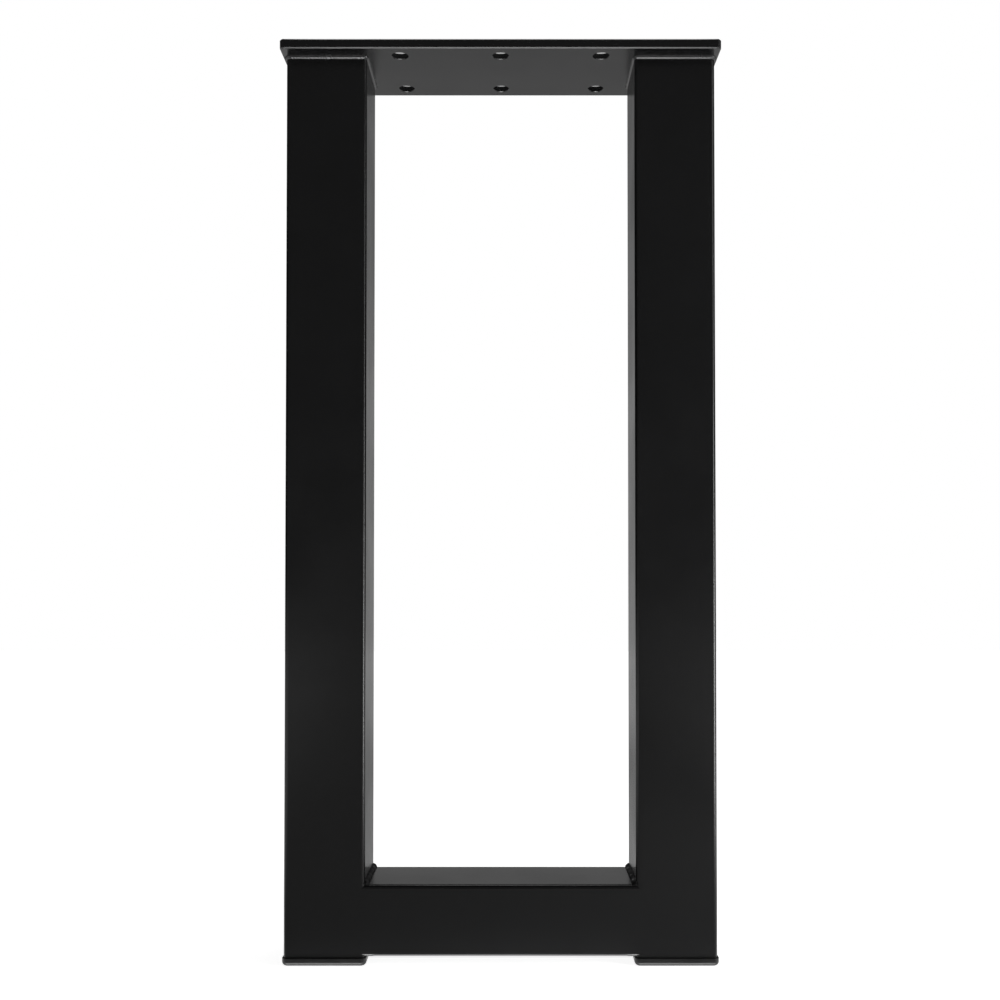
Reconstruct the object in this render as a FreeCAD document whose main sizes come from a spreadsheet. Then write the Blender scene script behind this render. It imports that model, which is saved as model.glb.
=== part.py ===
import FreeCAD, Part
import math
import os

import Sketcher

# A welded steel U-shaped table leg: a drilled plate for the table top, two square uprights, a crossbar
# between them at the floor, the welds that join these, and a plastic cap under each upright.
# Millimetres. X is the leg's width, Y runs from front to rear, Z is up. The origin is on the floor,
# under the middle of the leg.

# Driving dimensions
SIZES = {
    # whole leg
    "leg_height": 722.0,  # floor to the top of the plate
    "clear_span": 211.7,  # between the uprights
    # square tube of the uprights; the crossbar has the same depth, wall and corners
    "tube_width": 63.5,
    "tube_depth": 63.5,
    "tube_wall": 2.1,
    "tube_corner_radius": 3.2,
    "least_bend_radius": 0.4,  # inside a corner, however thick the wall
    "crossbar_height": 56.0,
    # plate under the table top
    "plate_thickness": 7.5,
    "plate_side_overhang": 2.85,  # past the uprights' outer sides
    "plate_front_overhang": 16.25,  # past the uprights' fronts, and their backs
    "plate_corner_radius": 3.5,
    "plate_edge_chamfer": 0.8,
    # bolt holes: three across, two deep
    "hole_diameter": 12.7,
    "hole_tube_inset": 26.35,  # outer columns, in from the uprights
    "hole_edge_inset": 15.0,  # rows, in from the plate's long edges
    "hole_lower_chamfer": 0.5,
    "hole_top_chamfer": 3.0,  # clears the burr where the drill came through
    # welds
    "plate_weld_leg": 2.0,
    "weld_toe": 0.25,  # thickness where a bead runs out
    "seam_bead_leg": 2.6,
    "seam_bead_inset": 1.2,  # bead's ends, in from the front and the back
    # foot caps
    "foot_thickness": 7.0,
    "foot_overhang": 1.25,
    "foot_top_chamfer": 1.0,
    "foot_bottom_round": 3.4,
    "plug_length": 26.0,
    "plug_wall": 2.2,
    "plug_clearance": 1.0,  # plug to tube, all round
    "plug_lead_in": 0.8,
    "fin_clearance": 0.1,  # grip fin to tube, all round
    "fin_thickness": 1.2,
    "fin_pitch": 5.5,
    "fin_first": 4.0,  # lowest fin, above the flange
    "cavity_floor": 2.5,  # of the plug's hollow, above the floor
}
HOLE_COLUMNS = 3
HOLE_ROWS = 2
FIN_COUNT = 4

# Lengths and places worked out from them, as expressions
UPRIGHT_X = "(Sizes.clear_span + Sizes.tube_width) / 2"
PLATE_UNDERSIDE = "(Sizes.leg_height - Sizes.plate_thickness)"
UPRIGHT_LENGTH = PLATE_UNDERSIDE + " - Sizes.foot_thickness"
BORE_WIDTH = "(Sizes.tube_width - 2 * Sizes.tube_wall)"
BORE_DEPTH = "(Sizes.tube_depth - 2 * Sizes.tube_wall)"
BORE_CORNER = "max(Sizes.tube_corner_radius - Sizes.tube_wall; Sizes.least_bend_radius)"
CROSSBAR_MIDDLE = "Sizes.foot_thickness + Sizes.crossbar_height / 2"
CROSSBAR_TOP = "Sizes.foot_thickness + Sizes.crossbar_height"
PLATE_LENGTH = "(Sizes.clear_span + 2 * Sizes.tube_width + 2 * Sizes.plate_side_overhang)"
PLATE_DEPTH = "(Sizes.tube_depth + 2 * Sizes.plate_front_overhang)"
HOLE_COLUMN_X = "(Sizes.clear_span / 2 - Sizes.hole_tube_inset)"
HOLE_ROW_Y = "(" + PLATE_DEPTH + " / 2 - Sizes.hole_edge_inset)"

NEAR = 1e-4  # lengths closer than this are the same
ORIGIN = (-1, 1)  # a sketch's own origin, as constraints name it
START, END, CENTRE = 1, 2, 3  # points of a sketched line or arc

doc = FreeCAD.newDocument("table_leg")
sheet = doc.addObject("Spreadsheet::Sheet", "Sizes")
for row, (alias, number) in enumerate(SIZES.items(), start=1):
    sheet.set(f"A{row}", alias.replace("_", " "))
    sheet.set(f"B{row}", str(number))
    sheet.setAlias(f"B{row}", alias)
doc.recompute()


def length(expression):
    """The present value of an expression in the sheet's sizes."""
    return float(sheet.evalExpression(expression))


def new_body(label):
    """An empty body whose label names its file."""
    body = doc.addObject("PartDesign::Body", label)
    body.Label = label
    return body


def origin_feature(body, role):
    """One of the body's own planes or axes."""
    return next(item for item in body.Origin.OriginFeatures if item.Role == role)


def new_sketch(body, name, plane, across="0", up="0", out="0"):
    """A sketch on one of the body's planes, moved in the plane and out of it by expressions."""
    sketch = body.newObject("Sketcher::SketchObject", name)
    sketch.AttachmentSupport = [(origin_feature(body, plane), "")]
    sketch.MapMode = "FlatFace"
    for axis, expression in (("x", across), ("y", up), ("z", out)):
        sketch.setExpression(f"AttachmentOffset.Base.{axis}", expression)
    return sketch


def constrain(sketch, name, expression, *terms):
    """A named constraint that takes its value from an expression."""
    number = sketch.addConstraint(Sketcher.Constraint(*terms, length(expression)))
    sketch.renameConstraint(number, name)
    sketch.setExpression(f"Constraints.{name}", expression)


def round_rectangle(sketch, name, width, height, radius):
    """Outlines a round-cornered rectangle about the sketch's origin, with each size an expression."""
    corner = length(radius)
    reach_x = length(width) / 2 - corner
    reach_y = length(height) / 2 - corner
    first = sketch.GeometryCount
    centres = [(reach_x, reach_y), (-reach_x, reach_y), (-reach_x, -reach_y), (reach_x, -reach_y)]
    arcs = []
    for quarter, (x, y) in enumerate(centres):
        circle = Part.Circle(FreeCAD.Vector(x, y, 0), FreeCAD.Vector(0, 0, 1), corner)
        arcs.append(Part.ArcOfCircle(circle, quarter * math.pi / 2, (quarter + 1) * math.pi / 2))
    sides = [Part.LineSegment(arc.EndPoint, arcs[(i + 1) % 4].StartPoint) for i, arc in enumerate(arcs)]
    sketch.addGeometry(arcs + sides, False)
    for i in range(4):
        arc = first + i
        side = first + 4 + i
        following = first + (i + 1) % 4
        sketch.addConstraint(Sketcher.Constraint("Tangent", arc, END, side, START))
        sketch.addConstraint(Sketcher.Constraint("Tangent", side, END, following, START))
        sketch.addConstraint(Sketcher.Constraint("Vertical" if i % 2 else "Horizontal", side))
        if i:
            sketch.addConstraint(Sketcher.Constraint("Equal", first, arc))
    opposite = first + 2
    sketch.addConstraint(Sketcher.Constraint("Symmetric", first, CENTRE, opposite, CENTRE, *ORIGIN))
    constrain(sketch, name + "_radius", radius, "Radius", first)
    run = f"{{}} - 2 * ({radius})"
    constrain(sketch, name + "_width", run.format(width), "DistanceX", opposite, CENTRE, first, CENTRE)
    constrain(sketch, name + "_height", run.format(height), "DistanceY", opposite, CENTRE, first, CENTRE)


def pad(body, name, sketch, distance, both_ways=False):
    """Pads a sketch by an expression, along its normal or half of it each way."""
    feature = body.newObject("PartDesign::Pad", name)
    feature.Profile = sketch
    feature.SideType = "Symmetric" if both_ways else "One side"
    feature.setExpression("Length", distance)
    doc.recompute()
    return feature


def pocket(body, name, sketch, distance=None, towards_normal=False):
    """Cuts a sketch by an expression, or right through both ways, and sees that metal came away."""
    before = body.Tip.Shape.Volume
    feature = body.newObject("PartDesign::Pocket", name)
    feature.Profile = sketch
    if distance is None:
        feature.Type = "ThroughAll"
        feature.SideType = "Symmetric"
    else:
        feature.setExpression("Length", distance)
        feature.Reversed = towards_normal
    doc.recompute()
    if feature.Shape.Volume > before - NEAR:
        raise RuntimeError(f"{name} cut nothing from {body.Label}")
    return feature


def edges_where(feature, chosen):
    """The names of a feature's edges that pass a test."""
    return [f"Edge{i}" for i, edge in enumerate(feature.Shape.Edges, start=1) if chosen(edge)]


def edges_at_height(feature, expression):
    """The names of a feature's edges that lie level at a height given by an expression."""
    height = length(expression)

    def level(edge):
        box = edge.BoundBox
        return abs(box.ZMin - height) < NEAR and abs(box.ZMax - height) < NEAR

    return edges_where(feature, level)


def finish_edges(body, kind, name, base, edges, property_name, size):
    """Fillets or chamfers some edges of the feature before it."""
    feature = body.newObject(f"PartDesign::{kind}", name)
    feature.Base = (base, edges)
    feature.setExpression(property_name, size)
    doc.recompute()
    return feature


def place(body, x="0", turned=False):
    """Moves a body along X by an expression, turned to face the other way if asked."""
    if turned:
        body.Placement.Rotation = FreeCAD.Rotation(FreeCAD.Vector(0, 0, 1), 180)
    body.setExpression("Placement.Base.x", x)


def make_mounting_plate():
    """The plate under the table top, with deburred edges and six bolt holes."""
    body = new_body("mounting_plate")
    outline = new_sketch(body, "plate_outline", "XY_Plane", out=PLATE_UNDERSIDE)
    round_rectangle(outline, "plate", PLATE_LENGTH, PLATE_DEPTH, "Sizes.plate_corner_radius")
    slab = pad(body, "plate_slab", outline, "Sizes.plate_thickness")
    rims = edges_at_height(slab, PLATE_UNDERSIDE) + edges_at_height(slab, "Sizes.leg_height")
    finish_edges(body, "Chamfer", "plate_edges", slab, rims, "Size", "Sizes.plate_edge_chamfer")

    drill = new_sketch(body, "hole_outline", "XY_Plane", out=PLATE_UNDERSIDE)
    centre = FreeCAD.Vector(-length(HOLE_COLUMN_X), -length(HOLE_ROW_Y), 0)
    drill.addGeometry(Part.Circle(centre, FreeCAD.Vector(0, 0, 1), length("Sizes.hole_diameter / 2")))
    constrain(drill, "hole_radius", "Sizes.hole_diameter / 2", "Radius", 0)
    constrain(drill, "hole_column", HOLE_COLUMN_X, "DistanceX", 0, CENTRE, *ORIGIN)
    constrain(drill, "hole_row", HOLE_ROW_Y, "DistanceY", 0, CENTRE, *ORIGIN)
    hole = pocket(body, "first_hole", drill)

    grid = body.newObject("PartDesign::LinearPattern", "hole_grid")
    grid.Originals = [hole]
    grid.Direction = (origin_feature(body, "X_Axis"), [""])
    grid.Direction2 = (origin_feature(body, "Y_Axis"), [""])
    grid.Occurrences = HOLE_COLUMNS
    grid.Occurrences2 = HOLE_ROWS
    grid.setExpression("Length", f"2 * {HOLE_COLUMN_X}")
    grid.setExpression("Length2", f"2 * {HOLE_ROW_Y}")
    body.Tip = grid
    doc.recompute()

    hole_radius = length("Sizes.hole_diameter / 2")

    def rim(edge):
        return isinstance(edge.Curve, Part.Circle) and abs(edge.Curve.Radius - hole_radius) < NEAR

    for name, height in (("lower", PLATE_UNDERSIDE), ("top", "Sizes.leg_height")):
        base = body.Tip
        round_edges = edges_where(base, rim)
        rims = [edge for edge in edges_at_height(base, height) if edge in round_edges]
        finish_edges(body, "Chamfer", f"{name}_hole_rims", base, rims, "Size", f"Sizes.hole_{name}_chamfer")
    return body


def make_upright(label, x):
    """A square tube from its foot cap up to the plate."""
    body = new_body(label)
    section = new_sketch(body, label + "_section", "XY_Plane", out="Sizes.foot_thickness")
    round_rectangle(section, "outside", "Sizes.tube_width", "Sizes.tube_depth", "Sizes.tube_corner_radius")
    round_rectangle(section, "inside", BORE_WIDTH, BORE_DEPTH, BORE_CORNER)
    pad(body, label + "_tube", section, UPRIGHT_LENGTH)
    place(body, x)
    return body


def make_crossbar():
    """The tube between the uprights, level with their lower ends."""
    body = new_body("crossbar")
    section = new_sketch(body, "crossbar_section", "YZ_Plane", up=CROSSBAR_MIDDLE)
    height = "Sizes.crossbar_height"
    round_rectangle(section, "outside", "Sizes.tube_depth", height, "Sizes.tube_corner_radius")
    hollow_height = "(Sizes.crossbar_height - 2 * Sizes.tube_wall)"
    round_rectangle(section, "inside", BORE_DEPTH, hollow_height, BORE_CORNER)
    pad(body, "crossbar_tube", section, "Sizes.clear_span", both_ways=True)
    return body


def beyond_tube(edge):
    """Whether an edge lies on a weld's outer outline and not on the tube."""
    middle = edge.valueAt((edge.FirstParameter + edge.LastParameter) / 2)
    corner = length("Sizes.tube_corner_radius")
    past_x = abs(middle.x) - (length("Sizes.tube_width / 2") - corner)
    past_y = abs(middle.y) - (length("Sizes.tube_depth / 2") - corner)
    if past_x > 0 and past_y > 0:
        return math.hypot(past_x, past_y) > corner + NEAR
    return max(past_x, past_y) > corner + NEAR


def make_plate_weld(label, x):
    """The fillet weld round an upright's top, in the corner under the plate."""
    body = new_body(label)
    bottom = PLATE_UNDERSIDE + " - Sizes.plate_weld_leg"
    outline = new_sketch(body, label + "_outline", "XY_Plane", out=bottom)
    round_rectangle(
        outline,
        "outside",
        "(Sizes.tube_width + 2 * Sizes.plate_weld_leg)",
        "(Sizes.tube_depth + 2 * Sizes.plate_weld_leg)",
        "Sizes.tube_corner_radius + Sizes.plate_weld_leg",
    )
    round_rectangle(outline, "inside", "Sizes.tube_width", "Sizes.tube_depth", "Sizes.tube_corner_radius")
    ring = pad(body, label + "_ring", outline, "Sizes.plate_weld_leg")
    outer = edges_where(ring, beyond_tube)
    lower_rim = [edge for edge in edges_at_height(ring, bottom) if edge in outer]
    face = "Sizes.plate_weld_leg - Sizes.weld_toe"
    finish_edges(body, "Chamfer", label + "_face", ring, lower_rim, "Size", face)
    place(body, x)
    return body


def make_crossbar_weld(label, x, turned):
    """The weld round a crossbar's end: a bead on top, and the corner grooves filled flush front and rear.

    It is drawn against an upright whose inner face is the YZ plane and whose crossbar runs along +X.
    """
    body = new_body(label)
    fill_outline = new_sketch(
        body, label + "_fill_outline", "YZ_Plane", up=CROSSBAR_MIDDLE, out="-Sizes.tube_corner_radius"
    )
    round_rectangle(
        fill_outline, "fill", "Sizes.tube_depth", "Sizes.crossbar_height", "Sizes.tube_corner_radius"
    )
    pad(body, label + "_fill", fill_outline, "Sizes.tube_corner_radius")

    # Bead's section, from the bottom of the corner grooves to its round face on the crossbar
    section = new_sketch(body, label + "_bead_section", "XZ_Plane", up=CROSSBAR_TOP)
    leg = length("Sizes.seam_bead_leg")
    groove = length("Sizes.tube_corner_radius")
    toe = FreeCAD.Vector(leg, 0, 0)
    crown = FreeCAD.Vector(0, leg, 0)
    crown_circle = Part.Circle(FreeCAD.Vector(0, 0, 0), FreeCAD.Vector(0, 0, 1), leg)
    corners = [
        crown,
        FreeCAD.Vector(-groove, leg, 0),
        FreeCAD.Vector(-groove, -groove, 0),
        FreeCAD.Vector(leg, -groove, 0),
        toe,
    ]
    face = Part.ArcOfCircle(crown_circle, 0, math.pi / 2)
    sides = [Part.LineSegment(a, b) for a, b in zip(corners, corners[1:])]
    section.addGeometry([face] + sides, False)
    loop = [0, 1, 2, 3, 4]
    for here, there in zip(loop, loop[1:] + loop[:1]):
        section.addConstraint(Sketcher.Constraint("Coincident", here, END, there, START))
    for side, direction in zip(loop[1:], ("Horizontal", "Vertical", "Horizontal", "Vertical")):
        section.addConstraint(Sketcher.Constraint(direction, side))
    section.addConstraint(Sketcher.Constraint("Coincident", 0, CENTRE, *ORIGIN))
    section.addConstraint(Sketcher.Constraint("PointOnObject", 0, START, -1))
    section.addConstraint(Sketcher.Constraint("PointOnObject", 0, END, -2))
    constrain(section, "leg", "Sizes.seam_bead_leg", "Radius", 0)
    constrain(section, "groove_width", "Sizes.tube_corner_radius", "DistanceX", 1, END, *ORIGIN)
    constrain(section, "groove_depth", "Sizes.tube_corner_radius", "DistanceY", 2, END, *ORIGIN)
    bead_run = "Sizes.tube_depth - 2 * Sizes.seam_bead_inset"
    pad(body, label + "_bead", section, bead_run, both_ways=True)

    tube = new_sketch(body, label + "_tube_outline", "XY_Plane", across="-Sizes.tube_width / 2")
    round_rectangle(tube, "tube", "Sizes.tube_width", "Sizes.tube_depth", "Sizes.tube_corner_radius")
    pocket(body, label + "_tube_seat", tube)
    bar = new_sketch(body, label + "_bar_outline", "YZ_Plane", up=CROSSBAR_MIDDLE)
    round_rectangle(bar, "bar", "Sizes.tube_depth", "Sizes.crossbar_height", "Sizes.tube_corner_radius")
    pocket(body, label + "_bar_seat", bar, "2 * Sizes.seam_bead_leg", towards_normal=True)
    place(body, x, turned)
    return body


def make_foot_cap(label, x):
    """A moulded cap: a flange a little wider than the tube, and a hollow plug with grip fins up the bore."""
    body = new_body(label)
    flange_outline = new_sketch(body, label + "_flange_outline", "XY_Plane")
    round_rectangle(
        flange_outline,
        "flange",
        "(Sizes.tube_width + 2 * Sizes.foot_overhang)",
        "(Sizes.tube_depth + 2 * Sizes.foot_overhang)",
        "Sizes.tube_corner_radius + Sizes.foot_overhang",
    )
    flange = pad(body, label + "_flange", flange_outline, "Sizes.foot_thickness")
    lower = edges_at_height(flange, "0")
    rounded = finish_edges(
        body, "Fillet", label + "_lower_edge", flange, lower, "Radius", "Sizes.foot_bottom_round"
    )
    upper = edges_at_height(rounded, "Sizes.foot_thickness")
    finish_edges(body, "Chamfer", label + "_upper_edge", rounded, upper, "Size", "Sizes.foot_top_chamfer")

    plug_width = f"({BORE_WIDTH} - 2 * Sizes.plug_clearance)"
    plug_depth = f"({BORE_DEPTH} - 2 * Sizes.plug_clearance)"
    plug_outline = new_sketch(body, label + "_plug_outline", "XY_Plane", out="Sizes.foot_thickness")
    round_rectangle(plug_outline, "plug", plug_width, plug_depth, BORE_CORNER)
    plug = pad(body, label + "_plug", plug_outline, "Sizes.plug_length")
    tops = edges_at_height(plug, "Sizes.foot_thickness + Sizes.plug_length")
    finish_edges(body, "Chamfer", label + "_lead_in", plug, tops, "Size", "Sizes.plug_lead_in")

    fin_height = "Sizes.foot_thickness + Sizes.fin_first"
    fin_outline = new_sketch(body, label + "_fin_outline", "XY_Plane", out=fin_height)
    fin_width = f"({BORE_WIDTH} - 2 * Sizes.fin_clearance)"
    fin_depth = f"({BORE_DEPTH} - 2 * Sizes.fin_clearance)"
    round_rectangle(fin_outline, "fin", fin_width, fin_depth, BORE_CORNER)
    fin = pad(body, label + "_fin", fin_outline, "Sizes.fin_thickness")
    fins = body.newObject("PartDesign::LinearPattern", label + "_fins")
    fins.Originals = [fin]
    fins.Direction = (origin_feature(body, "Z_Axis"), [""])
    fins.Occurrences = FIN_COUNT
    fins.setExpression("Length", f"{FIN_COUNT - 1} * Sizes.fin_pitch")
    body.Tip = fins
    doc.recompute()

    cavity_outline = new_sketch(body, label + "_cavity_outline", "XY_Plane", out="Sizes.cavity_floor")
    cavity_width = f"({plug_width} - 2 * Sizes.plug_wall)"
    cavity_depth = f"({plug_depth} - 2 * Sizes.plug_wall)"
    round_rectangle(cavity_outline, "cavity", cavity_width, cavity_depth, BORE_CORNER)
    cavity_height = "Sizes.foot_thickness + Sizes.plug_length - Sizes.cavity_floor"
    pocket(body, label + "_cavity", cavity_outline, cavity_height, towards_normal=True)
    place(body, x)
    return body


def check(bodies):
    """Stops unless every object recomputed and every piece is one sound solid."""
    for item in doc.Objects:
        if {"Invalid", "Error"} & set(item.State):
            raise RuntimeError(f"{item.Label} failed to recompute")
    for body in bodies:
        shape = body.Shape
        if shape.isNull() or not shape.isValid() or len(shape.Solids) != 1:
            raise RuntimeError(f"{body.Label} is not one sound solid")


bodies = [make_mounting_plate(), make_crossbar()]
for side, sign, turned in (("left", "-", False), ("right", "", True)):
    upright_x = f"{sign}({UPRIGHT_X})"
    bodies.append(make_upright(f"{side}_upright", upright_x))
    bodies.append(make_plate_weld(f"{side}_plate_weld", upright_x))
    bodies.append(make_crossbar_weld(f"{side}_crossbar_weld", f"{sign}Sizes.clear_span / 2", turned))
    bodies.append(make_foot_cap(f"{side}_foot_cap", upright_x))
doc.recompute()
check(bodies)

os.makedirs("parts", exist_ok=True)
for body in bodies:
    body.Shape.exportStep(f"parts/{body.Label}.step")
    print(f"{body.Label}: {body.Shape.Volume / 1000:.2f} cm3")
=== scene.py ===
"""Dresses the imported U-shaped table leg and stands it in a white studio. Lengths are in metres."""
import itertools
import logging
import math
from dataclasses import dataclass, field
from enum import Enum
from typing import Any

import bpy
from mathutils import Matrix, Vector


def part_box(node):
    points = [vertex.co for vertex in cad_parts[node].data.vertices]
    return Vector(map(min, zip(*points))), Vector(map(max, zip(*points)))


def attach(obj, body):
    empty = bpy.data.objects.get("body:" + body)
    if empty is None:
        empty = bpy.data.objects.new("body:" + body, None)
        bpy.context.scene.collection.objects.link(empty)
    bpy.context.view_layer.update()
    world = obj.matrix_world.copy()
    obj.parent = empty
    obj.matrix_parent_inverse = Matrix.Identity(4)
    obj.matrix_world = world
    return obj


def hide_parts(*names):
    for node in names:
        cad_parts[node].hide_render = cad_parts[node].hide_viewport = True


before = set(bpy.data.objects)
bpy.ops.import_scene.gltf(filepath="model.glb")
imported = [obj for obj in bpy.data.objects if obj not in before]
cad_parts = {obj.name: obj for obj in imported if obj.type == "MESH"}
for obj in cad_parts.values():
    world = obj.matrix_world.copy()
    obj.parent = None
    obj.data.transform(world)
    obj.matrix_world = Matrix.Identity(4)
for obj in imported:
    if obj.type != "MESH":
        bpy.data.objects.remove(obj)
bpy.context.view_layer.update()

LOG = logging.getLogger("table_leg")
BODY = "root"
MM = 0.001

Colour = tuple[float, float, float, float]
Point = tuple[float, float, float]
Edge = tuple[float, float]

WHITE: Colour = (1.0, 1.0, 1.0, 1.0)


class Side(Enum):
    """The two ends of the leg; each value is the end's direction along X."""

    LEFT = -1
    RIGHT = 1

    def node(self, piece: str) -> str:
        """The name of this end's copy of a piece."""
        return f"{self.name.lower()}_{piece}"


class Graph:
    """A node tree, with calls that add a node and join or set its sockets."""

    def __init__(self, tree: bpy.types.NodeTree) -> None:
        """Empties the tree and keeps it.

        Args:
            tree: the shader, world or geometry tree to fill.
        """
        self.tree = tree
        tree.nodes.clear()

    def add(
        self, kind: str, sockets: dict[str | int, Any] | None = None, **settings: Any
    ) -> bpy.types.Node:
        """Adds a node.

        Args:
            kind: the node's bl_idname.
            sockets: inputs by name or index; an output socket is linked, a plain value is set.
            settings: properties of the node itself, which are set before its sockets.

        Returns:
            The new node.
        """
        node = self.tree.nodes.new(kind)
        for name, value in settings.items():
            setattr(node, name, value)
        for key, value in (sockets or {}).items():
            if isinstance(value, bpy.types.NodeSocket):
                self.tree.links.new(value, node.inputs[key])
            else:
                node.inputs[key].default_value = value
        return node

    def math(self, operation: str, *values: Any) -> bpy.types.NodeSocket:
        """Adds a Math node.

        Args:
            operation: the node's operation.
            values: its inputs in order, sockets or numbers.

        Returns:
            The result's socket.
        """
        return self.add("ShaderNodeMath", dict(enumerate(values)), operation=operation).outputs[0]

    def span(
        self, value: Any, low: Any, high: Any, to_low: Any, to_high: Any
    ) -> bpy.types.NodeSocket:
        """Adds a smooth Map Range node.

        Args:
            value: the socket that is mapped.
            low: where the step starts.
            high: where the step ends.
            to_low: the result below the step.
            to_high: the result above it.

        Returns:
            The result's socket.
        """
        sockets = {0: value, 1: low, 2: high, 3: to_low, 4: to_high}
        return self.add("ShaderNodeMapRange", sockets, interpolation_type="SMOOTHSTEP").outputs[0]

    def blend(self, share: Any, first: Any, second: Any) -> bpy.types.NodeSocket:
        """Adds a colour Mix node.

        Args:
            share: how much of the second colour shows.
            first: the colour at share 0.
            second: the colour at share 1.

        Returns:
            The mixed colour's socket.
        """
        # By number, because the sockets' names repeat for each type of data.
        sockets = {0: share, 6: first, 7: second}
        return self.add("ShaderNodeMix", sockets, data_type="RGBA").outputs[2]

    def capture(self, geometry: bpy.types.NodeSocket, fields: dict[str, tuple[str, Any]]) -> Any:
        """Adds a Capture Attribute node on points.

        Args:
            geometry: the curve whose points keep the fields.
            fields: each field's data type and socket, by its name.

        Returns:
            The node's outputs: Geometry and the named fields.
        """
        node = self.add("GeometryNodeCaptureAttribute", {"Geometry": geometry}, domain="POINT")
        for name, (kind, _) in fields.items():
            node.capture_items.new(kind, name)
        for name, (_, value) in fields.items():
            self.tree.links.new(value, node.inputs[name])
        return node.outputs


def new_group(
    name: str, kind: str, inputs: dict[str, str], outputs: dict[str, str]
) -> bpy.types.NodeTree:
    """Makes an empty node group with named sockets.

    Args:
        name: the group's name.
        kind: ShaderNodeTree or GeometryNodeTree.
        inputs: socket types by name, without their NodeSocket prefix.
        outputs: the same for the outputs.

    Returns:
        The group.
    """
    tree = bpy.data.node_groups.new(name, kind)
    for way, sockets in (("INPUT", inputs), ("OUTPUT", outputs)):
        for socket, of_type in sockets.items():
            tree.interface.new_socket(name=socket, in_out=way, socket_type=f"NodeSocket{of_type}")
    return tree


class FilmTexture:
    """Shared effect: the fine stipple of a baked or moulded surface and its slow drift in gloss."""

    NAME = "film_texture"
    COARSE_DETAIL = 2.0
    FINE_SHARE = 0.35
    FINE_RATIO = 2.7
    DRIFT_DETAIL = 3.0
    DRIFT_EDGE: Edge = (0.3, 0.7)

    @classmethod
    def group(cls) -> bpy.types.NodeTree:
        """Builds the group on its first use.

        Returns:
            The group: Vector, Grain Scale, Drift Scale, Smoothest and Roughest in; Height,
            Roughness and Drift out.
        """
        if cls.NAME in bpy.data.node_groups:
            return bpy.data.node_groups[cls.NAME]
        inputs = {"Vector": "Vector", "Grain Scale": "Float", "Drift Scale": "Float"}
        inputs |= {"Smoothest": "Float", "Roughest": "Float"}
        outputs = {"Height": "Float", "Roughness": "Float", "Drift": "Float"}
        graph = Graph(new_group(cls.NAME, "ShaderNodeTree", inputs, outputs))
        given = graph.add("NodeGroupInput").outputs
        place, grain = given["Vector"], given["Grain Scale"]
        coarse = {"Vector": place, "Scale": grain, "Detail": cls.COARSE_DETAIL}
        peel = graph.add("ShaderNodeTexNoise", coarse).outputs["Fac"]
        fine = {"Vector": place, "Scale": graph.math("MULTIPLY", grain, cls.FINE_RATIO)}
        speck = graph.add("ShaderNodeTexNoise", fine).outputs["Fac"]
        height = graph.math("MULTIPLY_ADD", speck, cls.FINE_SHARE, peel)
        slow = {"Vector": place, "Scale": given["Drift Scale"], "Detail": cls.DRIFT_DETAIL}
        drift = graph.add("ShaderNodeTexNoise", slow).outputs["Fac"]
        roughness = graph.span(drift, *cls.DRIFT_EDGE, given["Smoothest"], given["Roughest"])
        graph.add("NodeGroupOutput", {"Height": height, "Roughness": roughness, "Drift": drift})
        return graph.tree


class SettledDust:
    """Shared effect: a thin, patchy veil of dust on what faces up."""

    NAME = "settled_dust"
    TINT: Colour = (0.30, 0.29, 0.27, 1.0)
    UPWARD_EDGE: Edge = (0.5, 0.98)
    PATCH_SCALE = 38.0
    PATCH_DETAIL = 5.0
    PATCH_EDGE: Edge = (0.3, 0.75)
    THINNEST = 0.25
    DUST_ROUGHNESS = 0.85

    @classmethod
    def group(cls) -> bpy.types.NodeTree:
        """Builds the group on its first use.

        Returns:
            The group: Vector, Color, Roughness and Amount in; Color and Roughness out.
        """
        if cls.NAME in bpy.data.node_groups:
            return bpy.data.node_groups[cls.NAME]
        inputs = {"Vector": "Vector", "Color": "Color", "Roughness": "Float", "Amount": "Float"}
        outputs = {"Color": "Color", "Roughness": "Float"}
        graph = Graph(new_group(cls.NAME, "ShaderNodeTree", inputs, outputs))
        given = graph.add("NodeGroupInput").outputs
        normal = graph.add("ShaderNodeNewGeometry").outputs["Normal"]
        upward = graph.add("ShaderNodeSeparateXYZ", {0: normal}).outputs["Z"]
        lying = graph.span(upward, *cls.UPWARD_EDGE, 0.0, given["Amount"])
        patches = {"Vector": given["Vector"], "Scale": cls.PATCH_SCALE, "Detail": cls.PATCH_DETAIL}
        noise = graph.add("ShaderNodeTexNoise", patches).outputs["Fac"]
        patchy = graph.span(noise, *cls.PATCH_EDGE, cls.THINNEST, 1.0)
        veil = graph.math("MULTIPLY", lying, patchy)
        colour = graph.blend(veil, given["Color"], cls.TINT)
        rise = graph.math("SUBTRACT", cls.DUST_ROUGHNESS, given["Roughness"])
        roughness = graph.math("MULTIPLY_ADD", rise, veil, given["Roughness"])
        graph.add("NodeGroupOutput", {"Color": colour, "Roughness": roughness})
        return graph.tree


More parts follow.
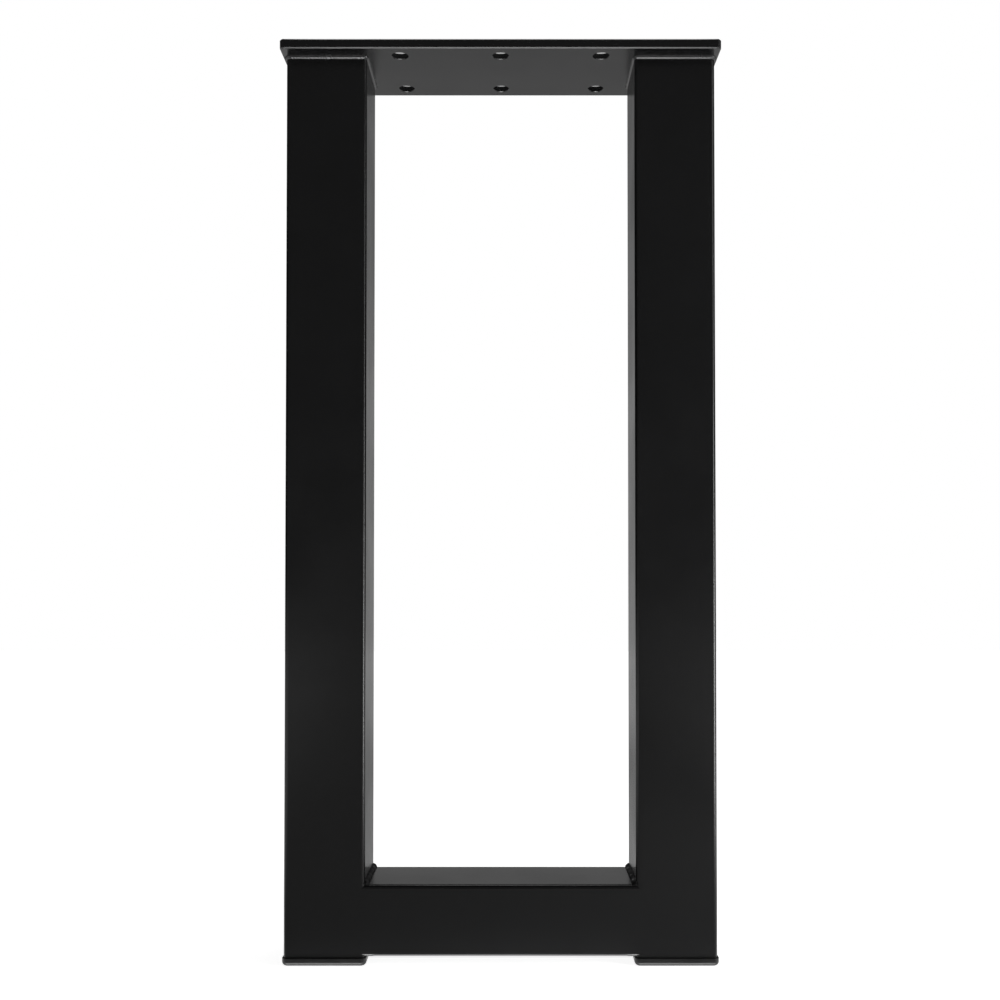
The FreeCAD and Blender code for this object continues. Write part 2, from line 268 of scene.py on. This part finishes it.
@dataclass(frozen=True)
class BlackFinish:
    """A black surface: its colour, gloss, stipple and dust, as one material."""

    name: str
    deep: Colour
    faded: Colour
    smoothest: float
    roughest: float
    grain_size: float
    drift_size: float
    stipple_depth: float
    stipple_strength: float
    dust: float
    specular: float

    def material(self) -> bpy.types.Material:
        """Builds the material on its first use.

        Returns:
            The material, on Object coordinates.
        """
        if self.name in bpy.data.materials:
            return bpy.data.materials[self.name]
        made = bpy.data.materials.new(self.name)
        made.use_nodes = True
        graph = Graph(made.node_tree)
        place = graph.add("ShaderNodeTexCoord").outputs["Object"]
        texture = {
            "Vector": place,
            "Grain Scale": 1 / self.grain_size,
            "Drift Scale": 1 / self.drift_size,
            "Smoothest": self.smoothest,
            "Roughest": self.roughest,
        }
        film = graph.add("ShaderNodeGroup", texture, node_tree=FilmTexture.group()).outputs
        veil = {
            "Vector": place,
            "Color": graph.blend(film["Drift"], self.deep, self.faded),
            "Roughness": film["Roughness"],
            "Amount": self.dust,
        }
        dusted = graph.add("ShaderNodeGroup", veil, node_tree=SettledDust.group()).outputs
        stipple = {
            "Height": film["Height"],
            "Strength": self.stipple_strength,
            "Distance": self.stipple_depth,
        }
        bump = graph.add("ShaderNodeBump", stipple)
        surface = {
            "Base Color": dusted["Color"],
            "Roughness": dusted["Roughness"],
            "Normal": bump.outputs["Normal"],
            "Specular IOR Level": self.specular,
        }
        shader = graph.add("ShaderNodeBsdfPrincipled", surface)
        graph.add("ShaderNodeOutputMaterial", {"Surface": shader.outputs["BSDF"]})
        return made


POWDER_COAT = BlackFinish(
    name="satin_black_powder_coat",
    deep=(0.0045, 0.0046, 0.0048, 1.0),
    faded=(0.0080, 0.0081, 0.0084, 1.0),
    smoothest=0.20,
    roughest=0.26,
    grain_size=1.3 * MM,
    drift_size=60 * MM,
    stipple_depth=0.05 * MM,
    stipple_strength=0.03,
    dust=0.015,
    specular=0.5,
)
WELD_COAT = BlackFinish(
    name="pooled_powder_coat_on_welds",
    deep=(0.0045, 0.0046, 0.0048, 1.0),
    faded=(0.0090, 0.0091, 0.0094, 1.0),
    smoothest=0.20,
    roughest=0.28,
    grain_size=0.9 * MM,
    drift_size=9 * MM,
    stipple_depth=0.08 * MM,
    stipple_strength=0.08,
    dust=0.015,
    specular=0.6,
)
# Painted shade: a darker, less reflective copy of the powder coat for the bead in each crossbar
# corner, standing in for the shade that falls in that corner.
CORNER_SHADE_COAT = BlackFinish(
    name="powder_coat_darkened_as_corner_shade",
    deep=(0.0030, 0.0030, 0.0032, 1.0),
    faded=(0.0060, 0.0060, 0.0063, 1.0),
    smoothest=0.45,
    roughest=0.60,
    grain_size=0.8 * MM,
    drift_size=9 * MM,
    stipple_depth=0.08 * MM,
    stipple_strength=0.3,
    dust=0.0,
    specular=0.2,
)
MOULDED_PLASTIC = BlackFinish(
    name="moulded_black_plastic",
    deep=(0.0040, 0.0040, 0.0040, 1.0),
    faded=(0.0070, 0.0070, 0.0070, 1.0),
    smoothest=0.30,
    roughest=0.38,
    grain_size=0.6 * MM,
    drift_size=25 * MM,
    stipple_depth=0.06 * MM,
    stipple_strength=0.35,
    dust=0.015,
    specular=0.5,
)


def dress(node: str, finish: BlackFinish) -> None:
    """Gives a CAD node its finish.

    Args:
        node: the node's name.
        finish: the finish of all its faces.
    """
    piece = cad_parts[node]
    for slot in piece.material_slots:
        slot.material = finish.material()
    LOG.info("%s wears %s", node, finish.name)


class RippledBead:
    """Geometry Nodes tree: a weld bead of overlapping crescents along a path.

    The bead is a sector of a circle about the path, which runs along the corner that the weld
    fills.
    """

    NAME = "rippled_bead"
    STEPS_PER_RIPPLE = 8
    ARC_POINTS = 11
    CORNER_POINTS = 8
    SEED_STEP = 31.7
    SWELL_DETAIL = 2.0
    INPUTS = {
        "Path": "Geometry",
        "Corner Radius": "Float",
        "Bead Radius": "Float",
        "Start Angle": "Float",
        "Sweep Angle": "Float",
        "Ripple Pitch": "Float",
        "Ripple Depth": "Float",
        "Crescent": "Float",
        "Unevenness": "Float",
        "Swell Length": "Float",
        "Flatness": "Float",
        "End Taper": "Float",
        "End Drop": "Float",
        "Seed": "Int",
        "Material": "Material",
    }

    @classmethod
    def tree(cls) -> bpy.types.NodeTree:
        """Builds the tree on its first use.

        Returns:
            The tree, which turns a poly curve into a mesh.
        """
        if cls.NAME in bpy.data.node_groups:
            return bpy.data.node_groups[cls.NAME]
        graph = Graph(new_group(cls.NAME, "GeometryNodeTree", cls.INPUTS, {"Bead": "Geometry"}))
        given = graph.add("NodeGroupInput").outputs
        path = cls._path(graph, given)
        profile = cls._profile(graph, given)
        sweep = {
            "Curve": path["Geometry"],
            "Profile Curve": profile["Geometry"],
            "Fill Caps": True,
        }
        swept = graph.add("GeometryNodeCurveToMesh", sweep).outputs["Mesh"]
        here = graph.add("GeometryNodeInputPosition").outputs[0]
        apart = {0: here, 1: path["Root"]}
        from_root = graph.add("ShaderNodeVectorMath", apart, operation="SUBTRACT").outputs[0]
        push = {0: from_root, "Scale": cls._growth(graph, given, path, profile["Around"])}
        offset = graph.add("ShaderNodeVectorMath", push, operation="SCALE").outputs[0]
        moved = {"Geometry": swept, "Offset": offset}
        shaped = graph.add("GeometryNodeSetPosition", moved).outputs[0]
        smooth = graph.add("GeometryNodeSetShadeSmooth", {0: shaped}).outputs[0]
        real = graph.add("GeometryNodeRealizeInstances", {0: smooth}).outputs[0]
        coat = {0: real, "Material": given["Material"]}
        coated = graph.add("GeometryNodeSetMaterial", coat).outputs[0]
        graph.add("NodeGroupOutput", {0: coated})
        return graph.tree

    @classmethod
    def _path(cls, graph: Graph, given: Any) -> Any:
        """Adds the path, rounded at its corners and cut into even steps.

        Args:
            graph: the tree's graph.
            given: the tree's inputs.

        Returns:
            Outputs: the path as Geometry, and its points' Along, From End and Root.
        """
        rounded = {
            "Curve": given["Path"],
            "Radius": given["Corner Radius"],
            "Limit Radius": True,
            "Count": cls.CORNER_POINTS,
        }
        corner = graph.add("GeometryNodeFilletCurve", rounded, mode="POLY").outputs["Curve"]
        step = graph.math("DIVIDE", given["Ripple Pitch"], cls.STEPS_PER_RIPPLE)
        even = {"Curve": corner, "Length": step}
        run = graph.add("GeometryNodeResampleCurve", even, mode="LENGTH").outputs["Curve"]
        level = graph.add("GeometryNodeSetCurveNormal", {"Curve": run}, mode="Z_UP")
        along = graph.add("GeometryNodeSplineParameter").outputs["Length"]
        total = graph.add("GeometryNodeSplineLength").outputs["Length"]
        ahead = graph.math("SUBTRACT", total, along)
        fields = {
            "Along": ("FLOAT", along),
            "From End": ("FLOAT", graph.math("MINIMUM", along, ahead)),
            "Root": ("VECTOR", graph.add("GeometryNodeInputPosition").outputs[0]),
        }
        return graph.capture(level.outputs["Curve"], fields)

    @classmethod
    def _profile(cls, graph: Graph, given: Any) -> Any:
        """Adds the sector that is swept along the path.

        Args:
            graph: the tree's graph.
            given: the tree's inputs.

        Returns:
            Outputs: the sector as Geometry, and its points' Around, which is 0 to 1 on the arc.
        """
        sector = {
            "Resolution": cls.ARC_POINTS,
            "Radius": given["Bead Radius"],
            "Start Angle": given["Start Angle"],
            "Sweep Angle": given["Sweep Angle"],
            "Connect Center": True,
        }
        arc = graph.add("GeometryNodeCurveArc", sector, mode="RADIUS").outputs["Curve"]
        number = graph.add("GeometryNodeInputIndex").outputs[0]
        around = graph.math("DIVIDE", number, cls.ARC_POINTS - 1)
        return graph.capture(arc, {"Around": ("FLOAT", around)})

    @classmethod
    def _growth(cls, graph: Graph, given: Any, path: Any, around: Any) -> bpy.types.NodeSocket:
        """Adds the ripples and swells, the flat face and the tapered ends.

        Args:
            graph: the tree's graph.
            given: the tree's inputs.
            path: the path's outputs: lengths along it and from its nearer end.
            around: place round the sector's arc, 0 to 1.

        Returns:
            How much further from the path a point goes, as a share of the bead's radius.
        """
        bow = graph.math("SINE", graph.math("MULTIPLY", around, math.pi))
        lean = graph.math("MULTIPLY", bow, given["Crescent"])
        ahead = graph.math("MULTIPLY", lean, given["Ripple Pitch"])
        along = path["Along"]
        leaning = graph.math("ADD", along, ahead)
        start = graph.math("MULTIPLY", given["Seed"], cls.SEED_STEP)
        swell_place = graph.math("ADD", graph.math("DIVIDE", along, given["Swell Length"]), start)
        noise = {"W": swell_place, "Scale": 1.0, "Detail": cls.SWELL_DETAIL}
        swell = graph.add("ShaderNodeTexNoise", noise, noise_dimensions="1D").outputs["Fac"]
        swing = graph.math("MULTIPLY_ADD", swell, 2.0, -1.0)  # from 0..1 to -1..1
        turn = graph.math("ADD", graph.math("DIVIDE", leaning, given["Ripple Pitch"]), swing)
        hill = graph.math("ABSOLUTE", graph.math("SINE", graph.math("MULTIPLY", turn, math.pi)))
        dip = graph.math("MULTIPLY", graph.math("SUBTRACT", hill, 1.0), given["Ripple Depth"])
        rippled = graph.math("MULTIPLY_ADD", swing, given["Unevenness"], dip)
        flat = graph.math("SUBTRACT", rippled, graph.math("MULTIPLY", bow, given["Flatness"]))
        sunk = graph.span(path["From End"], 0.0, given["End Taper"], given["End Drop"], 0.0)
        return graph.math("SUBTRACT", flat, sunk)


@dataclass(frozen=True)
class WeldPass:
    """How one kind of weld was run: its bead's size and ripples."""

    bead_radius: float
    start_angle: float
    sweep_angle: float
    ripple_pitch: float
    ripple_depth: float
    crescent: float
    unevenness: float
    swell_length: float
    flatness: float
    end_taper: float
    end_drop: float
    finish: BlackFinish

    def run(
        self, name: str, corners: list[Point], closed: bool, corner_radius: float, seed: int
    ) -> bpy.types.Object:
        """Runs a bead along a path.

        Args:
            name: the new piece's name.
            corners: the path's corners, in order.
            closed: whether the path returns to its start.
            corner_radius: the path's radius at each corner.
            seed: which swells this bead has.

        Returns:
            The bead, as a plain mesh object at the origin.
        """
        line = bpy.data.curves.new(name + "_path", "CURVE")
        line.dimensions = "3D"
        spline = line.splines.new("POLY")
        spline.points.add(len(corners) - 1)
        for point, corner in zip(spline.points, corners):
            point.co = (*corner, 1.0)
        spline.use_cyclic_u = closed
        guide = bpy.data.objects.new(name + "_path", line)
        bpy.context.scene.collection.objects.link(guide)
        values = {
            "Corner Radius": corner_radius,
            "Bead Radius": self.bead_radius,
            "Start Angle": self.start_angle,
            "Sweep Angle": self.sweep_angle,
            "Ripple Pitch": self.ripple_pitch,
            "Ripple Depth": self.ripple_depth,
            "Crescent": self.crescent,
            "Unevenness": self.unevenness,
            "Swell Length": self.swell_length,
            "Flatness": self.flatness,
            "End Taper": self.end_taper,
            "End Drop": self.end_drop,
            "Seed": seed,
            "Material": self.finish.material(),
        }
        modifier = guide.modifiers.new("bead", "NODES")
        modifier.node_group = RippledBead.tree()
        for item in modifier.node_group.interface.items_tree:
            if item.in_out == "INPUT" and item.name in values:
                modifier[item.identifier] = values[item.name]
        depsgraph = bpy.context.evaluated_depsgraph_get()
        mesh = bpy.data.meshes.new_from_object(guide.evaluated_get(depsgraph))
        guide.modifiers.remove(modifier)
        bpy.data.objects.remove(guide)
        bpy.data.curves.remove(line)
        mesh.name = name
        bead = bpy.data.objects.new(name, mesh)
        bpy.context.scene.collection.objects.link(bead)
        LOG.info("%s has %d faces", name, len(mesh.polygons))
        return bead


@dataclass
class SteelFrame:
    """The welded steel: plate, uprights and crossbar, with the beads that join them."""

    tube_corner_radius: float = 3.2 * MM
    tuck: float = math.radians(8)
    plate_bead_radius: float = 2.0 * MM
    crossbar_bead_radius: float = 3.0 * MM
    crossbar_bead_inset: float = 0.2 * MM

    def dress(self) -> None:
        """Coats the CAD pieces."""
        dress("mounting_plate", POWDER_COAT)
        dress("crossbar", POWDER_COAT)
        for side in Side:
            dress(side.node("upright"), POWDER_COAT)
            dress(side.node("crossbar_weld"), POWDER_COAT)

    def build(self) -> None:
        """Runs the beads at both ends."""
        seeds = itertools.count(1)
        for side in Side:
            self.plate_bead(side, next(seeds))
            self.crossbar_bead(side, next(seeds))

    def plate_bead(self, side: Side, seed: int) -> None:
        """Runs the ring under the plate, in place of its plain CAD ring.

        Args:
            side: the upright that it goes round.
            seed: which swells it has.
        """
        low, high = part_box(side.node("upright"))
        ring = [(high.x, high.y), (low.x, high.y), (low.x, low.y), (high.x, low.y)]
        corners = [(x, y, high.z) for x, y in ring]
        weld = WeldPass(
            bead_radius=self.plate_bead_radius,
            start_angle=-self.tuck,
            sweep_angle=math.pi / 2 + 2 * self.tuck,
            ripple_pitch=2.6 * MM,
            ripple_depth=0.03,
            crescent=0.45,
            unevenness=0.05,
            swell_length=9 * MM,
            flatness=0.2,
            end_taper=1 * MM,
            end_drop=0.0,
            finish=WELD_COAT,
        )
        bead = weld.run(side.node("plate_weld_bead"), corners, True, self.tube_corner_radius, seed)
        self.join(bead, side.node("plate_weld"))

    def crossbar_bead(self, side: Side, seed: int) -> None:
        """Runs the bead across the crossbar's top, over its plain CAD bead.

        Args:
            side: the upright that it lies against.
            seed: which swells it has.
        """
        low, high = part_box("crossbar")
        wall = high.x if side is Side.RIGHT else low.x
        front = low.y + self.crossbar_bead_inset
        rear = high.y - self.crossbar_bead_inset
        ends = [front, rear] if side is Side.LEFT else [rear, front]
        weld = WeldPass(
            bead_radius=self.crossbar_bead_radius,
            start_angle=-math.pi / 2 - self.tuck,
            sweep_angle=math.pi / 2 + 2 * self.tuck,
            ripple_pitch=3.6 * MM,
            ripple_depth=0.18,
            crescent=0.5,
            unevenness=0.05,
            swell_length=10 * MM,
            flatness=0.0,
            end_taper=1.2 * MM,
            end_drop=0.5,
            # This coat is darkened to paint the corner's shade onto the bead.
            finish=CORNER_SHADE_COAT,
        )
        corners = [(wall, y, high.z) for y in ends]
        bead = weld.run(side.node("crossbar_weld_bead"), corners, False, 0.0, seed)
        self.join(bead, None)

    def join(self, bead: bpy.types.Object, replaced: str | None) -> None:
        """Makes a bead part of the leg.

        Args:
            bead: the bead.
            replaced: the CAD node that it stands for, if any.
        """
        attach(bead, BODY)
        if replaced:
            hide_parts(replaced)


@dataclass
class FootCaps:
    """The moulded caps in the feet of the uprights."""

    piece: str = "foot_cap"

    def dress(self) -> None:
        """Gives both caps their plastic."""
        for side in Side:
            dress(side.node(self.piece), MOULDED_PLASTIC)


@dataclass(frozen=True)
class SoftLamp:
    """One softbox."""

    name: str
    place: Point
    aim: Point
    width: float
    height: float
    watts: float
    spread: float = math.pi

    def build(self) -> None:
        """Hangs the softbox, turned to its aim."""
        data = bpy.data.lights.new(self.name, "AREA")
        data.shape = "RECTANGLE"
        data.size = self.width
        data.size_y = self.height
        data.energy = self.watts
        data.spread = self.spread
        lamp = bpy.data.objects.new(self.name, data)
        lamp.location = self.place
        lamp.rotation_mode = "QUATERNION"
        lamp.rotation_quaternion = (Vector(self.aim) - Vector(self.place)).to_track_quat("-Z", "Y")
        lamp.visible_camera = False
        bpy.context.scene.collection.objects.link(lamp)
        LOG.info("%s hangs at %s", self.name, self.place)


SOFTBOXES = (
    SoftLamp(
        name="low_front_strip",
        place=(0.0, -0.22, 0.02),
        aim=(0.0, -0.04, 0.715),
        width=0.6,
        height=0.22,
        watts=0.37,
        spread=math.radians(50),
    ),
    SoftLamp(
        name="bar_strip",
        place=(0.0, -0.034, 0.0015),
        aim=(0.0, -0.034, 1.0),
        width=0.20,
        height=0.02,
        watts=0.0125,
        spread=math.radians(80),
    ),
    SoftLamp(
        name="foot_strip",
        place=(0.0, -0.0358, 0.0015),
        aim=(0.0, -0.0358, 1.0),
        width=0.34,
        height=0.006,
        watts=0.026,
        spread=math.radians(90),
    ),
    SoftLamp(
        name="right_front_panel",
        place=(0.81, -0.41, 0.12),
        aim=(0.1, 0.0, 0.2),
        width=0.22,
        height=0.4,
        watts=3.6,
    ),
    SoftLamp(
        name="right_middle_panel",
        place=(0.81, -0.41, 0.43),
        aim=(0.1, 0.0, 0.43),
        width=0.22,
        height=0.23,
        watts=1.0,
    ),
    SoftLamp(
        name="right_upper_panel",
        place=(0.81, -0.41, 0.78),
        aim=(0.1, 0.0, 0.78),
        width=0.22,
        height=0.46,
        watts=0.9,
    ),
    SoftLamp(
        name="overhead",
        place=(0.0, 0.2, 1.2),
        aim=(0.0, 0.0, 0.72),
        width=0.5,
        height=0.35,
        watts=1.6,
    ),
)


@dataclass
class Surroundings:
    """The world: white to the camera, and mostly dim in reflections.

    An edge is where a step starts and ends. Front, rear and side edges are read on the heading's
    Y, which is -1 towards the camera and 1 towards the rear. The others are read on the
    direction's Z.

    Attributes:
        front_level: strength towards the camera.
        side_level: strength everywhere else, before the rear and the ring.
        rear_level: what the rear adds near the horizon.
        high_share: the share of that which is left higher up.
        ring_level: strength high at the sides.
        front_edge: the step out of the front.
        rear_edge: the step into the rear.
        side_edge: the step out of the sides, on the heading's Y without its sign.
        high_edge: the step down to high_share.
        ring_edge: the step up into the ring.
        zenith_edge: the step up into the dark overhead.
    """

    front_level: float = 0.12
    side_level: float = 0.02
    rear_level: float = 0.38
    high_share: float = 0.6
    ring_level: float = 0.35
    front_edge: Edge = (-0.8, -0.4)
    rear_edge: Edge = (0.8, 0.97)
    side_edge: Edge = (0.75, 0.95)
    high_edge: Edge = (0.1, 0.3)
    ring_edge: Edge = (0.38, 0.5)
    zenith_edge: Edge = (0.6, 0.85)

    def build(self) -> None:
        """Makes the world."""
        world = bpy.data.worlds.new("studio")
        world.use_nodes = True
        bpy.context.scene.world = world
        graph = Graph(world.node_tree)
        way = graph.add("ShaderNodeTexCoord").outputs["Generated"]
        upward = graph.add("ShaderNodeSeparateXYZ", {0: way}).outputs["Z"]
        flat = {0: way, 1: (1.0, 1.0, 0.0)}
        level_way = graph.add("ShaderNodeVectorMath", flat, operation="MULTIPLY").outputs[0]
        heading = graph.add("ShaderNodeVectorMath", {0: level_way}, operation="NORMALIZE")
        rearward = graph.add("ShaderNodeSeparateXYZ", {0: heading.outputs[0]}).outputs["Y"]
        front = graph.span(rearward, *self.front_edge, self.front_level, self.side_level)
        rear = graph.span(rearward, *self.rear_edge, 0.0, self.rear_level)
        share = graph.span(upward, *self.high_edge, 1.0, self.high_share)
        low = graph.math("MULTIPLY_ADD", rear, share, front)
        unsigned = graph.math("ABSOLUTE", rearward)
        aside = graph.span(unsigned, *self.side_edge, self.ring_level, 0.0)
        ring = graph.math("MULTIPLY", aside, graph.span(upward, *self.ring_edge, 0.0, 1.0))
        below = graph.span(upward, *self.zenith_edge, 1.0, 0.0)
        level = graph.math("MULTIPLY", graph.math("MAXIMUM", low, ring), below)
        rays = graph.add("ShaderNodeLightPath").outputs
        seen = graph.math("MAXIMUM", rays["Is Camera Ray"], rays["Is Transmission Ray"])
        shown = graph.math("MAXIMUM", seen, level)
        light = graph.add("ShaderNodeBackground", {"Color": WHITE, "Strength": shown})
        graph.add("ShaderNodeOutputWorld", {"Surface": light.outputs[0]})


@dataclass
class WhiteFloor:
    """The floor: it glows white to the camera, and in reflections it is bright only in places.

    Attributes:
        half: half of its side.
        drop: how far it lies below the feet.
        albedo: its diffuse grey.
        glow: what the camera sees near the leg and away from it.
        glow_edge: the distances from the leg between which the glow changes.
        pool_edge: half the depth of the bright pool under the leg, where it starts and ends to
            fade.
        front_gleam: strength in reflections before the pool.
        rear_gleam: the same behind it, nearer and farther.
        rear_edge: the depths between which rear_gleam changes.
        side_gleam: the least strength far to either side.
        side_edge: the distances across between which side_gleam sets in.
    """

    half: float = 4.0
    drop: float = 0.2 * MM
    albedo: float = 0.8
    glow: tuple[float, float] = (0.90, 1.0)
    glow_edge: Edge = (0.22, 0.5)
    pool_edge: Edge = (35 * MM, 43 * MM)
    front_gleam: float = 0.05
    rear_gleam: tuple[float, float] = (0.18, 0.34)
    rear_edge: Edge = (0.9, 1.9)
    side_gleam: float = 0.75
    side_edge: Edge = (0.24, 0.6)

    def build(self) -> None:
        """Lays the floor under the leg."""
        near, far, z = -self.half, self.half, -self.drop
        corners = [(near, near, z), (far, near, z), (far, far, z), (near, far, z)]
        mesh = bpy.data.meshes.new("floor")
        mesh.from_pydata(corners, [], [(0, 1, 2, 3)])
        mesh.materials.append(self.paint())
        floor = bpy.data.objects.new("floor", mesh)
        bpy.context.scene.collection.objects.link(floor)

    def paint(self) -> bpy.types.Material:
        """Makes the floor's material.

        Returns:
            A matte white that also shines by itself, as the attributes say.
        """
        paint = bpy.data.materials.new("white_floor")
        paint.use_nodes = True
        graph = Graph(paint.node_tree)
        grey = (self.albedo, self.albedo, self.albedo, 1.0)
        matte = graph.add("ShaderNodeBsdfDiffuse", {"Color": grey})
        place = graph.add("ShaderNodeTexCoord").outputs["Object"]
        across, depth, _ = graph.add("ShaderNodeSeparateXYZ", {0: place}).outputs
        pool_near, pool_far = self.pool_edge
        ahead = graph.span(depth, -pool_far, -pool_near, self.front_gleam, 1.0)
        rear = graph.span(depth, *self.rear_edge, *self.rear_gleam)
        behind = graph.span(depth, pool_near, pool_far, 1.0, rear)
        unsigned = graph.math("ABSOLUTE", across)
        aside = graph.span(unsigned, *self.side_edge, 0.0, self.side_gleam)
        pool = graph.math("MAXIMUM", graph.math("MINIMUM", ahead, behind), aside)
        rays = graph.add("ShaderNodeLightPath").outputs
        gleam = graph.math("MULTIPLY", rays["Is Glossy Ray"], pool)
        seen = graph.math("MAXIMUM", rays["Is Camera Ray"], rays["Is Transmission Ray"])
        away = graph.add("ShaderNodeVectorMath", {0: place}, operation="LENGTH").outputs["Value"]
        white = graph.span(away, *self.glow_edge, *self.glow)
        strength = graph.math("MULTIPLY_ADD", seen, white, gleam)
        shine = graph.add("ShaderNodeEmission", {"Strength": strength})
        both = graph.add("ShaderNodeAddShader", {0: matte.outputs[0], 1: shine.outputs[0]})
        graph.add("ShaderNodeOutputMaterial", {"Surface": both.outputs[0]})
        return paint


@dataclass
class Studio:
    """What stands round the leg: the world, the floor and the softboxes."""

    surroundings: Surroundings = field(default_factory=Surroundings)
    floor: WhiteFloor = field(default_factory=WhiteFloor)
    lamps: tuple[SoftLamp, ...] = SOFTBOXES

    def build(self) -> None:
        """Sets the world, the floor and the lamps."""
        self.surroundings.build()
        self.floor.build()
        for lamp in self.lamps:
            lamp.build()


@dataclass
class PhotoCamera:
    """A camera close to the photograph's, low in front of the leg.

    The photograph has a stronger rising shift. Every other view keeps this camera's shift, and
    that one would cut the foot off there, so this camera stands higher and tilts up a little.
    """

    place: Point = (8.3 * MM, -1003.8 * MM, 303.8 * MM)
    tilt: float = math.radians(1.21)
    lens_mm: float = 44.63
    sensor_mm: float = 36.0
    shift: tuple[float, float] = (-0.0111, 0.05)

    def build(self) -> None:
        """Makes the camera and hands it to the scene."""
        data = bpy.data.cameras.new("photo_camera")
        data.lens = self.lens_mm
        data.sensor_width = self.sensor_mm
        data.shift_x, data.shift_y = self.shift
        camera = bpy.data.objects.new("photo_camera", data)
        camera.location = self.place
        camera.rotation_euler = (math.pi / 2 + self.tilt, 0.0, 0.0)
        bpy.context.scene.collection.objects.link(camera)
        bpy.context.scene.camera = camera


def main() -> None:
    """Dresses the leg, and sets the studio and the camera."""
    logging.basicConfig(level=logging.INFO, format="%(name)s: %(message)s")
    bpy.context.scene.view_settings.view_transform = "Standard"
    steel = SteelFrame()
    steel.dress()
    steel.build()
    FootCaps().dress()
    Studio().build()
    PhotoCamera().build()


if __name__ == "__main__":
    main()
